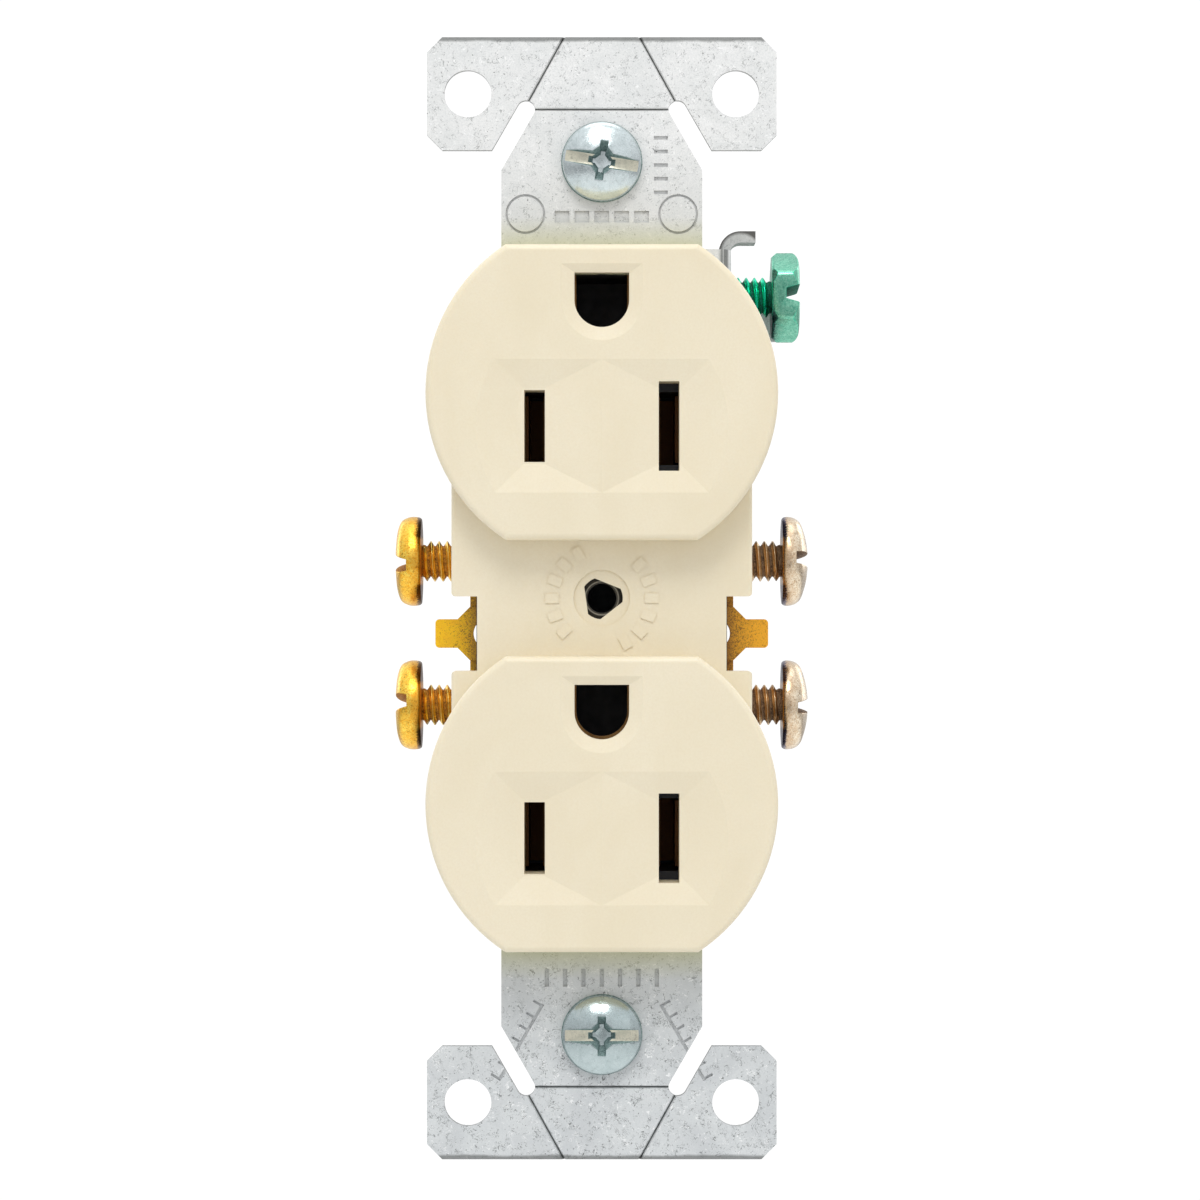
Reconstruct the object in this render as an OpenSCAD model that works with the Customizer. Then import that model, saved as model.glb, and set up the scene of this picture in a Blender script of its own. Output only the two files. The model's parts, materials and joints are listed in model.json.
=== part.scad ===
// Duplex wall outlet: two 15 A grounded sockets on one steel mounting strap.
// While drawing, x points right, y up the device and z out of the wall, with the strap's
// rear face at z = 0. on_wall() then turns the drawing so that +Z is up and the sockets face -Y.

/* [Mounting strap] */
// Overall length of the strap
strap_len = 107.2; // [106:0.1:109]
// Width over the plaster ears
ear_w = 33.4; // [32:0.1:35]
// Height of one plaster ear
ear_h = 10.8; // [10.4:0.1:11.2]
// Width of the strap's neck
neck_w = 19.2; // [18.6:0.1:19.6]
// Thickness of the sheet steel
sheet = 1.1; // [0.9:0.05:1.3]
// Distance between the two mounting screws
screw_span = 83.34; // [83:0.01:84]
// Sideways distance between the holes in the ears
ear_hole_dx = 25.6; // [25:0.1:26]
// Up-and-down distance between the holes in the ears
ear_hole_dy = 96.4; // [96:0.1:97]
// Radius of the holes in the ears
ear_hole_r = 2.25; // [2:0.05:2.4]
// Radius of the tapped cover plate hole
plate_hole_r = 1.4; // [1.3:0.05:1.45]

/* [Socket faces] */
// Distance between the centres of the two socket faces
face_span = 38.9; // [38.7:0.05:39.1]
// Radius of a socket face
face_r = 16.65; // [16.5:0.05:16.8]
// Height of a socket face between its flats
face_flat = 27.9; // [27.6:0.1:28]
// Height of the socket faces above the strap's rear
face_z = 7.0; // [6.5:0.1:7.5]
// Height of the land between the faces above the strap's rear
land_z = 3.4; // [3:0.1:3.8]
// Width of the land
land_w = 28.6; // [28.2:0.1:29]
// Distance between the two blade slots
blade_dx = 12.7; // [12.6:0.05:12.8]
// Width of a blade slot
blade_t = 1.95; // [1.7:0.05:2.1]
// Length of the hot blade slot
hot_len = 6.8; // [6.5:0.1:7]
// Length of the neutral blade slot
neutral_len = 8.46; // [8.1:0.02:8.7]
// Radius of the grounding pin hole
pin_r = 2.58; // [2.5:0.02:2.6]

/* [Back body] */
// Depth of the back body behind the strap
body_depth = 19; // [18.5:0.1:20]
// Length of the back body
body_len = 66.4; // [66:0.1:67]
// Width of the back body between the wire barriers
body_w = 24; // [23.8:0.05:24]

/* [Side terminals] */
// Distance of the wiring screws above and below the break-off fin
term_dy = 7; // [6.9:0.05:7.1]
// Depth of the wiring screws' axes behind the strap
term_depth = 8; // [7.9:0.05:8.1]
// Thickness of the brass strip
brass_t = 0.64; // [0.6:0.02:0.7]
// Travel of a wiring screw from backed out to tight
screw_travel = 4.8; // [4:0.1:4.8]
// Radius of a wiring screw's head
term_head_r = 4.35; // [4.2:0.05:4.4]
// Radius of a wiring screw's shank
term_shank_r = 1.95; // [1.9:0.01:1.97]

/* [Hidden] */
$fn = 96;
cut = 0.1;               // how far a cutting shape runs past the surface it opens
gap = 0.05;              // clearance between pieces that are pushed together

// strap
ear_top = strap_len / 2;
ear_foot = ear_top - ear_h;
ear_clip = 1.45;         // clipped ear corners
neck_shoulder = 41.1;    // where the neck starts to narrow beside the break-off slots
neck_tip = 47.3;
neck_tip_w = 12;
slot_x = 7.25;           // inner end of a break-off slot
slot_y = 46.7;
slot_r = 0.87;
slot_angle = -60;
slot_run = 12;
score_w = 0.34;          // width of a bending score at the surface
score_d = 0.4;
score_back_d = 0.2;      // depth of the groove behind each ear's score
score_inner = [7.0, 47.5];
score_outer = [3.4, 54.0];
web_w = 6.8;             // strap between the blades
window_low = -8.3;       // blade window in the strap, from the socket's centre
window_high = 2.0;
pin_y = 8.7;             // grounding pin above the socket's centre
blade_y = -3.2;          // blades below the socket's centre
pin_window_r = 2.85;
pin_window_top = 2.8;
mount_slot_r = 1.95;
mount_slot_dx = 1.25;
stamp_depth = 0.22;
collar_r = 1.72;         // collar drawn up round the tapped hole
collar_h = 0.5;
face_ys = [face_span / 2, -face_span / 2];

// grounding terminal on the strap's right-hand edge
wing_y = [25.2, 33.35];
wing_x = 12.4;
bend_r = 0.5;
wing_drop = 12.6;
curl_r = 1.0;
curl_end = 14.85;
curl_z = [-7.8, -3.6];
lip_x = 17.3;
lip_top = 30.8;
ground_y = 29.3;
ground_travel = 4.1;

// socket face
rim_r = 0.6;
cover_wall = 2.0;
cover_roof = 4.8;        // underside of the socket face's front wall
dish = 0.6;              // depth of the recess around the blade slots
dish_r = 11.9;
dish_ramp = 3.7;
dish_half_h = 6.3;
dish_slope = 0.22;
gable_x = 5.4;
surround = [3.85, 3.4, 0.35];
pin_wall = 1.4;          // thickness of the front wall at the pin hole, which is wider behind it
pin_relief = 0.65;
notch_x = 11.85;
notch_y = [-6.93, 0.17];
notch_r = 0.4;           // rounding of the notch's outer corners
boss_r = 2.4;
core_hole_r = 1.5;

// fasteners that hold the housing together
fix_x = 7.6;
fix_ys = [23.6, -29.8];
fix_r = 1.15;
fix_head_r = 2.3;
fix_sink = 10;           // depth of the counterbore from the rear
retained_r = 1.45;       // neck of a mounting screw, narrower than its thread
rivet_x = 6.2;
rivet_r = 0.93;

// side terminals
fin_y = -3.4;
fin_gap = 0.95;          // half the gap that separates a side plate's two halves behind the fin
term_ys = [fin_y + term_dy, fin_y - term_dy];
plate_x = 12.05;
plate_z = [-12.6, -3.2];
plate_y = [-18.1, 11.1];
rail_z = -6.4;
leaf_gap = 1.4;
leaf_half = 3.2;
leaf_depth = 12.5;
head_x = plate_x + brass_t + screw_travel;
head_t = 2.6;
shank_len = 6.2;
barrier_x = 14.3;
barrier_ys = [8.9, -15.9];
barrier_depth = 16;
body_inset = 0.12;       // how far the body stays inside the cover's outline
flange_t = 2.6;
push_x = 10.8;
push_ys = [9.3, -16.3];
push_r = 1.15;

// ---- shared shapes ----

module on_wall() { rotate([90, 0, 0]) children(); }
module both_ends() { children(); mirror([0, 1, 0]) children(); }
module both_sides() { children(); mirror([1, 0, 0]) children(); }
module box(x, y, z) { translate([x[0], y[0], z[0]]) cube([x[1] - x[0], y[1] - y[0], z[1] - z[0]]); }
module drill(x, y, r, z0, z1) { translate([x, y, z0]) cylinder(r = r, h = z1 - z0); }

// rod along +x from x0 to x1, on the axis (y, z)
module rod_x(x0, x1, y, z, r) {
    translate([x0, y, z]) rotate([0, 90, 0]) cylinder(r = r, h = x1 - x0);
}

// profile drawn in x and z, extruded along y between the two values of y
module along_y(y) {
    translate([0, y[1], 0]) rotate([90, 0, 0]) linear_extrude(y[1] - y[0]) children();
}

// profile drawn in y and z, extruded along x between the two values of x
module along_x(x) {
    translate([x[0], 0, 0]) rotate([90, 0, 90]) linear_extrude(x[1] - x[0]) children();
}

// rectangle of width w and height h standing on the x axis, its top corners rounded
module round_top(w, h, r) {
    translate([-w / 2, 0]) square([w, h - r]);
    translate([-w / 2 + r, 0]) square([w - 2 * r, h]);
    for (s = [-1, 1]) translate([s * (w / 2 - r), h - r]) circle(r);
}

// outline of a socket face, grown or shrunk by d
module face_outline(d = 0) {
    intersection() {
        circle(face_r + d, $fn = 180);
        square([2 * face_r + 2, face_flat + 2 * d], center = true);
    }
}

// grounding pin hole: round below, flat on top, with half-width r and flat at top
module pin_outline(r, top) {
    circle(r);
    translate([-r, 0]) square([2 * r, top]);
}

// ---- strap ----

module ear_outline() {
    x = ear_w / 2;
    c = ear_clip;
    polygon([[x, ear_foot + c], [x, ear_top - c], [x - c, ear_top], [c - x, ear_top],
             [-x, ear_top - c], [-x, ear_foot + c], [c - x, ear_foot], [x - c, ear_foot]]);
}

module neck_outline() {
    x = neck_w / 2;
    t = neck_tip_w / 2;
    polygon([[x, 0], [x, neck_shoulder], [t, neck_tip], [-t, neck_tip], [-x, neck_shoulder], [-x, 0]]);
}

module break_off_slot() {
    translate([slot_x, slot_y]) rotate(slot_angle) {
        circle(slot_r);
        translate([0, -slot_r]) square([slot_run, 2 * slot_r]);
    }
}

module mounting_slot() {
    for (s = [-1, 1]) translate([s * mount_slot_dx, screw_span / 2]) circle(mount_slot_r);
    translate([-mount_slot_dx, screw_span / 2 - mount_slot_r])
        square([2 * mount_slot_dx, 2 * mount_slot_r]);
}

module strap_outline() {
    difference() {
        both_ends() union() { ear_outline(); neck_outline(); }
        both_ends() both_sides() break_off_slot();
        both_ends() mounting_slot();
        both_ends() both_sides() translate([ear_hole_dx / 2, ear_hole_dy / 2]) circle(ear_hole_r);
        for (fy = face_ys) {
            both_sides() translate([web_w / 2, fy + window_low])
                square([neck_w, window_high - window_low]);
            translate([0, fy + pin_y]) pin_outline(pin_window_r, pin_window_top);
            both_sides() translate([rivet_x, fy + pin_y]) circle(rivet_r);
        }
        for (fy = fix_ys) both_sides() translate([fix_x, fy]) circle(fix_r + gap);
    }
}

// V groove along the line from a to b, cut d deep into a face at height z; d < 0 cuts upward
module score(a, b, z, d) {
    run = b - a;
    translate([a[0], a[1], z]) rotate(atan2(run[1], run[0])) along_x([0, norm(run)])
        polygon([[0, -d], [score_w, d], [-score_w, d]]);
}

module bending_scores() {
    both_ends() {
        score([-slot_x, slot_y], [slot_x, slot_y], sheet, score_d);
        both_sides() {
            score(score_inner, score_outer, sheet, score_d);
            score(score_inner, score_outer, 0, -score_back_d);
        }
    }
}

// plain stamped marks: two rings, a row of bars, and a strip gauge along each lower taper
module stamped_marks() {
    translate([0, 0, sheet - stamp_depth]) linear_extrude(1) {
        both_sides() translate([7.3, 36.7]) difference() { circle(1.9); circle(1.68); }
        for (i = [-2:2]) translate([i * 1.9 - 0.7, 35.9]) square([1.4, 1.1]);
        for (i = [0:4]) translate([5.0, 38.6 + 1.3 * i]) square([1.3, 0.35]);
        for (i = [-3:3]) translate([i * 1.75 - 0.2, -37.1]) square([0.4, 1.7]);
        both_sides() translate([7.6, -42.5]) rotate(-60) {
            translate([-4.2, 0]) square([8.4, 0.3]);
            for (i = [-3:3]) translate([i * 1.35 - 0.12, 0]) square([0.24, 1.1]);
        }
    }
}

// side plate of the grounding terminal, seen from above: flat, bend, then straight back
module ground_side_profile() {
    outer = bend_r + sheet;
    bend_x = wing_x - outer;
    translate([neck_w / 2 - 1, 0]) square([bend_x - neck_w / 2 + 1, sheet]);
    translate([bend_x, sheet - outer]) intersection() {
        difference() { circle(outer); circle(bend_r); }
        square(outer);
    }
    translate([wing_x - sheet, -wing_drop]) square([sheet, wing_drop + sheet - outer]);
}

// curled top of the side plate, seen from the front
module ground_curl_profile() {
    outer = curl_r + sheet;
    translate([wing_x + curl_r, wing_y[1]]) {
        intersection() {
            difference() { circle(outer); circle(curl_r); }
            translate([-outer, 0]) square(outer);
        }
        translate([0, curl_r]) square([curl_end - wing_x - curl_r, sheet]);
    }
}

module ground_terminal() {
    difference() {
        union() {
            along_y(wing_y) ground_side_profile();
            translate([0, 0, curl_z[0]]) linear_extrude(curl_z[1] - curl_z[0]) ground_curl_profile();
            box([wing_x - sheet, lip_x], [wing_y[0] + 0.1, lip_top], [-wing_drop - sheet, -wing_drop]);
        }
        rod_x(wing_x - 2, wing_x + 1, ground_y, -term_depth, term_shank_r + gap);
    }
}

module strap() {
    color("gainsboro") on_wall() {
        difference() {
            union() {
                linear_extrude(sheet) strap_outline();
                drill(0, 0, collar_r, 0, sheet + collar_h);
            }
            drill(0, 0, plate_hole_r, -1, sheet + 1);
            bending_scores();
            stamped_marks();
        }
        ground_terminal();
    }
}

// ---- face cover ----

module face_disc() {
    intersection() {
        rotate_extrude($fn = 180) {
            square([face_r, face_z - rim_r]);
            square([face_r - rim_r, face_z]);
            translate([face_r - rim_r, face_z - rim_r]) circle(rim_r);
        }
        along_x([-face_r - 1, face_r + 1]) round_top(face_flat, face_z, rim_r);
    }
}

// recess around the blade slots: a shallow roof between them that runs out to the sides
module blade_dish() {
    big = 20;
    intersection() {
        translate([0, blade_y, 0]) {
            along_y([-big, big]) polygon([[0, 0], [gable_x, -dish], [big, -dish], [big, 1],
                                          [-big, 1], [-big, -dish], [-gable_x, -dish]]);
        }
        translate([0, blade_y, 0]) along_x([-big, big])
            polygon([[-dish_half_h, 0], [0, -dish_half_h * dish_slope], [dish_half_h, 0],
                     [dish_half_h, 1], [-dish_half_h, 1]]);
        translate([0, blade_y, 0]) {
            depth = dish * dish_r / dish_ramp;
            translate([0, 0, -depth]) cylinder(r1 = 0, r2 = dish_r, h = depth, $fn = 180);
            cylinder(r = dish_r, h = 1, $fn = 180);
        }
    }
}

// sloped surround of the grounding pin hole
module pin_surround() {
    w = surround[0];
    d = surround[2];
    intersection() {
        translate([0, 0, -d]) cylinder(r1 = pin_r, r2 = w, h = d);
        translate([-w, -w, -d]) cube([2 * w, w, 2 * d]);
    }
    intersection() {
        along_y([0, surround[1]]) polygon([[pin_r, -d], [w, 0], [w, d], [-w, d], [-w, 0], [-pin_r, -d]]);
        along_x([-w, w]) polygon([[-1, -d], [pin_r, -d], [surround[1], 0], [surround[1], d], [-1, d]]);
    }
}

// hollow behind one socket face, leaving guides round the slots and bosses for the screws
module face_hollow(fy) {
    difference() {
        translate([0, fy, -cut]) linear_extrude(cover_roof + cut) face_outline(-cover_wall);
        both_sides() box([blade_dx / 2 - 2.2, blade_dx / 2 + 2.2],
                         [fy + blade_y - 5.6, fy + blade_y + 5.6], [sheet, face_z]);
        box([-4.4, 4.4], [fy + pin_y - 4.4, fy + pin_y + 4.6], [sheet, face_z]);
        for (y = fix_ys) both_sides() drill(fix_x, y, boss_r, sheet, face_z);
    }
}

// notch that clears the break-off fin, its outer corners rounded away
module notch_outline() {
    edge = land_w / 2;
    translate([notch_x, notch_y[0]]) square([edge, notch_y[1] - notch_y[0]]);
    for (end = [[notch_y[0], -1], [notch_y[1], 1]]) translate([edge, end[0]]) difference() {
        square(2 * notch_r, center = true);
        translate([-notch_r, end[1] * notch_r]) circle(notch_r);
        translate([-2 * notch_r, -notch_r]) square([notch_r, 2 * notch_r]);
    }
}

// short raised bars on an arc round the centre hole
module arc_bars() {
    for (a = [-62:20.7:62]) rotate(a) translate([4.1, -0.45, land_z - cut]) cube([1.3, 0.9, cut + 0.12]);
    for (a = [118:20.7:242]) rotate(a) translate([4.1, -0.45, land_z - cut]) cube([1.3, 0.9, cut + 0.12]);
}

module face_cover() {
    color("wheat") on_wall() {
        difference() {
            union() {
                for (fy = face_ys) translate([0, fy, 0]) face_disc();
                along_y([-face_span / 3, face_span / 3]) round_top(land_w, land_z, 0.3);
                arc_bars();
            }
            // seat for the strap and for its grounding terminal
            box([-neck_w / 2 - cut, neck_w / 2 + cut], [-40, 40], [-1, sheet]);
            box([0, 20], [wing_y[0] - cut, wing_y[1] + 3], [-1, sheet]);
            both_sides() translate([0, 0, -1]) linear_extrude(face_z) notch_outline();
            for (fy = face_ys) {
                face_hollow(fy);
                translate([0, fy, face_z]) blade_dish();
                translate([0, fy + pin_y, face_z]) pin_surround();
                translate([0, fy + pin_y, 0]) {
                    linear_extrude(face_z + 1) pin_outline(pin_r, pin_r);
                    linear_extrude(face_z - pin_wall) pin_outline(pin_r + pin_relief, pin_r + pin_relief);
                }
                for (s = [[-1, hot_len], [1, neutral_len]])
                    translate([s[0] * blade_dx / 2, fy + blade_y, 0])
                        cube([blade_t, s[1], 4 * face_z], center = true);
            }
            for (y = fix_ys) both_sides() drill(fix_x, y, fix_r + 0.02, 0, cover_roof - 0.4);
            drill(0, 0, 2.7, land_z - 0.25, face_z);
            // three flats that grip the plate's screw, above a seat for the strap's collar
            drill(0, 0, core_hole_r + 0.5, 0, sheet + collar_h + 0.1);
            intersection() {
                rotate(8) cylinder(r = 2 * core_hole_r, h = face_z, $fn = 3);
                cylinder(r = core_hole_r + 0.5, h = face_z);
            }
        }
    }
}

// ---- back body ----

// the cover's outline, which hides the whole body from the front
module body_outline() {
    for (fy = face_ys) translate([0, fy]) face_outline(-body_inset);
    square([2 * barrier_x, face_span], center = true);
}

// core, wire barriers beside it and a flange under the cover
module body_shell() {
    l = body_len / 2;
    intersection() {
        translate([0, 0, -body_depth]) linear_extrude(body_depth) body_outline();
        union() {
            box([-body_w / 2, body_w / 2], [-l, l], [-body_depth, 0]);
            box([-barrier_x, barrier_x], [-l, barrier_ys[1]], [-barrier_depth, 0]);
            box([-barrier_x, barrier_x], [barrier_ys[0], l], [-barrier_depth, 0]);
        }
    }
    for (fy = face_ys) translate([0, fy, -flange_t]) linear_extrude(flange_t) face_outline(-body_inset);
}

// room for one side's contacts, strip and clips, drawn on the right
module terminal_pocket() {
    out = plate_x + brass_t + gap;
    box([plate_x, out], [plate_y[0] - cut, plate_y[1] + cut], [plate_z[0] - cut, cut]);
    box([plate_x, out], [face_ys[1] + blade_y - 2.7, face_ys[0] + blade_y + 2.7], [rail_z - cut, cut]);
    for (fy = face_ys) {
        y = fy + blade_y;
        x = blade_dx / 2;
        box([x - 1.6, x + 1.6], [y - 3.5, y + 3.5], [-leaf_depth - brass_t - 0.3, cut]);
        box([x, out], [y - 2.7, y + 2.7], [plate_z[1] - cut, cut]);
    }
    for (y = term_ys) rod_x(6, 20, y, -term_depth, 2.3);
    for (y = push_ys) {
        box([7.9, plate_x + cut], [y - 1.7, y + 1.7], [plate_z[0], cut]);
        drill(push_x, y, push_r, -body_depth - 1, 0);
        box([7.9, 8.9], [y - 1.3, y + 1.3], [-body_depth - 1, 0]);
    }
}

module ground_pocket(fy) {
    y = fy + pin_y;
    box([-8.1, 8.1], [y - 2.2, y + 2.2], [-1.1, cut]);
    drill(0, y, 4.2, -1.1, cut);
    box([-3.3, 3.3], [y - 2.9, y + 2.9], [-13.5, cut]);
}

module back_body() {
    color("dimgray") on_wall() difference() {
        body_shell();
        both_sides() terminal_pocket();
        for (fy = face_ys) ground_pocket(fy);
        // room for the end of the cover plate's screw
        drill(0, 0, 1.95, -12, cut);
        both_sides() for (y = fix_ys) {
            drill(fix_x, y, fix_r + gap, -body_depth, cut);
            drill(fix_x, y, fix_head_r + 0.2, -body_depth - 1, fix_sink - body_depth);
        }
        // step that lets the grounding terminal and its bend past, and room for its screw
        box([wing_x - sheet - 0.1, 20], [wing_y[0] - 0.4, 40], [-body_depth - 1, 1]);
        box([wing_x - sheet - bend_r - 0.1, 20], [wing_y[0] - 0.4, 40], [-bend_r, 1]);
        rod_x(5.8, 20, ground_y, -term_depth, 2.3);
        // plain wire strip gauge moulded into the rear
        box([-5, 5], [-25.4, -24.6], [-body_depth - 1, -body_depth + 0.4]);
        for (x = [-5, 4.2]) box([x, x + 0.8], [-26.5, -23.5], [-body_depth - 1, -body_depth + 0.4]);
    }
}

// ---- current-carrying parts ----

// break-off fin that joins the two halves of a side terminal
module fin_outline() {
    half = 1.38;
    flare = 1.2;
    tip = 16.03;
    out = plate_x + brass_t;
    polygon([[plate_x, -half - flare], [out, -half - flare], [out + flare, -half],
             [out + flare, half], [out, half + flare], [plate_x, half + flare]]);
    translate([plate_x, -half]) square([tip - plate_x - 0.4, 2 * half]);
    translate([plate_x, -half + 0.4]) square([tip - plate_x, 2 * half - 0.8]);
    both_ends() translate([tip - 0.4, half - 0.4]) circle(0.4);
}

// U-shaped spring contact that grips one blade
module blade_contact() {
    x = leaf_gap / 2;
    y = [-leaf_half, leaf_half];
    box([x, x + brass_t], y, [-leaf_depth, plate_z[1] + brass_t]);
    box([-x - brass_t, -x], y, [-leaf_depth, plate_z[1]]);
    box([-x - brass_t, x + brass_t], y, [-leaf_depth - brass_t, -leaf_depth]);
}

module side_terminal() {
    out = plate_x + brass_t;
    inner = (blade_dx + leaf_gap) / 2;
    difference() {
        union() {
            box([plate_x, out], plate_y, plate_z);
            box([plate_x, out], [face_ys[1] + blade_y - 2.5, face_ys[0] + blade_y + 2.5],
                [rail_z, plate_z[1]]);
            for (fy = face_ys) translate([0, fy + blade_y, 0]) {
                box([inner, out], [-2.5, 2.5], [plate_z[1], plate_z[1] + brass_t]);
                translate([blade_dx / 2, 0, 0]) blade_contact();
            }
            translate([0, fin_y, plate_z[1]]) linear_extrude(brass_t) fin_outline();
        }
        for (y = term_ys) rod_x(plate_x - 1, out + 1, y, -term_depth, term_shank_r + gap);
        // gap that leaves the two halves joined by the fin alone
        box([plate_x - 1, out + cut], [fin_y - fin_gap, fin_y + fin_gap], [plate_z[0] - 1, plate_z[1]]);
        drill(out - 1.75, fin_y, 1.42, plate_z[1] - cut, 0);
    }
}

module hot_terminal() { color("goldenrod") on_wall() mirror([1, 0, 0]) side_terminal(); }
module neutral_terminal() { color("peru") on_wall() side_terminal(); }

module ground_contact(fy) {
    leaf = [2.45, 2.95];
    color("darkkhaki") on_wall() translate([0, fy + pin_y, 0]) {
        difference() {
            union() {
                box([-7.9, 7.9], [-2, 2], [-0.5, 0]);
                drill(0, 0, 4.0, -0.5, 0);
            }
            translate([0, 0, -2]) linear_extrude(3) pin_outline(leaf[0], 3.2);
            both_sides() drill(rivet_x, 0, rivet_r + 0.02, -2, 1);
        }
        both_sides() box(leaf, [-2.6, 2.6], [-10.5, -0.5]);
    }
}

module ground_contact_top() { ground_contact(face_ys[0]); }
module ground_contact_bottom() { ground_contact(face_ys[1]); }

module ground_contact_rivets() {
    color("silver") on_wall() for (fy = face_ys) both_sides() translate([rivet_x, fy + pin_y, 0]) {
        drill(0, 0, rivet_r, -0.6, sheet + 0.1);
        drill(0, 0, 1.5, -1.0, -0.5);
        drill(0, 0, 1.5, sheet, sheet + 0.5);
    }
}

// wire clip: a springy V of strip that bites the wire against the side plate
module push_in_clip(y) {
    t = 0.35;
    color("lightsteelblue") on_wall() translate([0, y, 0]) along_y([-1.5, 1.5])
        polygon([[8.0, -12.3], [8.0 + t, -12.3], [8.0 + t, -4.6], [9.1, -3.9], [11.1, -7.6],
                 [11.4, -7.4], [9.3, -3.5], [8.0, -4.4]]);
}

module push_in_clip_neutral_top() { push_in_clip(push_ys[0]); }
module push_in_clip_neutral_bottom() { push_in_clip(push_ys[1]); }
module push_in_clip_hot_top() { mirror([1, 0, 0]) push_in_clip(push_ys[0]); }
module push_in_clip_hot_bottom() { mirror([1, 0, 0]) push_in_clip(push_ys[1]); }

// ---- screws ----

// domed head of radius r and height h, standing on z = 0, its edge rounded by e
module pan_head(r, h, e) {
    dome_r = 12.5;
    intersection() {
        rotate_extrude() intersection() {
            square([r, h]);
            union() {
                square([r - e, h]);
                square([r, h - e]);
                translate([r - e, h - e]) circle(e);
            }
        }
        translate([0, 0, h - dome_r]) sphere(dome_r);
    }
}

// four screws from the rear that clamp body, strap and cover together
module housing_screws() {
    head = 1.6;
    color("silver") on_wall() for (y = fix_ys) both_sides()
        translate([fix_x, y, fix_sink - body_depth]) {
            difference() {
                translate([0, 0, -head]) cylinder(r = fix_head_r, h = head);
                for (a = [0, 90]) rotate(a) translate([-1.4, -0.25, -head - 1]) cube([2.8, 0.5, 1.9]);
            }
            cylinder(r = fix_r, h = body_depth - fix_sink + cover_roof - 0.6);
        }
}

// wiring screw along +x with its head outermost, at rest backed out to its stop
module wiring_screw(y, turn) {
    translate([head_x, y, -term_depth]) rotate([0, 90, 0]) rotate(turn) difference() {
        union() {
            pan_head(term_head_r, head_t, 1.05);
            translate([0, 0, -shank_len]) cylinder(r = term_shank_r, h = shank_len + cut);
        }
        translate([-10, -0.48, head_t - 1.3]) cube([20, 0.96, 5]);
    }
}

module brass_screw_top() { color("gold") on_wall() mirror([1, 0, 0]) wiring_screw(term_ys[0], 3); }
module brass_screw_bottom() { color("gold") on_wall() mirror([1, 0, 0]) wiring_screw(term_ys[1], -3); }
module silver_screw_top() { color("silver") on_wall() wiring_screw(term_ys[0], 3); }
module silver_screw_bottom() { color("silver") on_wall() wiring_screw(term_ys[1], -3); }

module ground_screw() {
    head = 2.7;
    corner_r = 4.45;
    color("mediumseagreen") on_wall()
    translate([wing_x + ground_travel, ground_y, -term_depth]) rotate([0, 90, 0]) difference() {
        union() {
            intersection() {
                rotate(90) cylinder(r = corner_r, h = head, $fn = 6);
                pan_head(corner_r, head + 0.25, 0.8);
            }
            translate([0, 0, -shank_len]) cylinder(r = term_shank_r, h = shank_len + cut);
        }
        translate([-10, -0.46, head - 1.25]) cube([20, 0.92, 5]);
    }
}

// mounting screw: head in front of the strap's slot, a slim neck that the retainer holds, thread behind
module mounting_screw(y, turn) {
    shank = 1.75;
    thread_start = -5.5;
    thread_end = -20.4;
    color("lightblue") on_wall() translate([0, y, sheet]) {
        difference() {
            pan_head(3.87, 2.3, 1.3);
            rotate(turn) {
                translate([-5, -0.65, 1.4]) cube([10, 1.3, 5]);
                translate([-1.65, -0.45, 0.9]) cube([3.3, 0.9, 5]);
                translate([-0.45, -1.95, 0.9]) cube([0.9, 3.9, 5]);
                translate([0, 0, 0.6]) cylinder(r = 1.45, h = 5, $fn = 4);
            }
        }
        translate([0, 0, thread_start - cut]) cylinder(r = retained_r, h = cut - thread_start + cut);
        translate([0, 0, thread_end]) cylinder(r = shank, h = thread_start - thread_end);
        translate([0, 0, thread_end - 1]) cylinder(r1 = shank - 0.6, r2 = shank, h = 1);
    }
}

module mounting_screw_top() { mounting_screw(screw_span / 2, -9); }
module mounting_screw_bottom() { mounting_screw(-screw_span / 2, 0); }

// fibre washer that grips the mounting screw's neck behind the strap
module screw_retainer(y) {
    half = 4.75;
    color("tan") on_wall() translate([0, y, 0]) difference() {
        box([-half, half], [-half, half], [-3.8, -3.0]);
        drill(0, 0, retained_r + gap, -5, 0);
    }
}

module screw_retainer_top() { screw_retainer(screw_span / 2); }
module screw_retainer_bottom() { screw_retainer(-screw_span / 2); }

strap();
face_cover();
back_body();
hot_terminal();
neutral_terminal();
ground_contact_top();
ground_contact_bottom();
ground_contact_rivets();
housing_screws();
brass_screw_top();
brass_screw_bottom();
silver_screw_top();
silver_screw_bottom();
ground_screw();
mounting_screw_top();
mounting_screw_bottom();
screw_retainer_top();
screw_retainer_bottom();
push_in_clip_hot_top();
push_in_clip_hot_bottom();
push_in_clip_neutral_top();
push_in_clip_neutral_bottom();
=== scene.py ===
"""The finished look of the duplex wall outlet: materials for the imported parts, screws with threads
and slotted heads that replace the plain ones, a pale stage, soft light and a frontal camera."""
import json
import math

import bmesh
import bpy
from mathutils import Matrix, Vector

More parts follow.
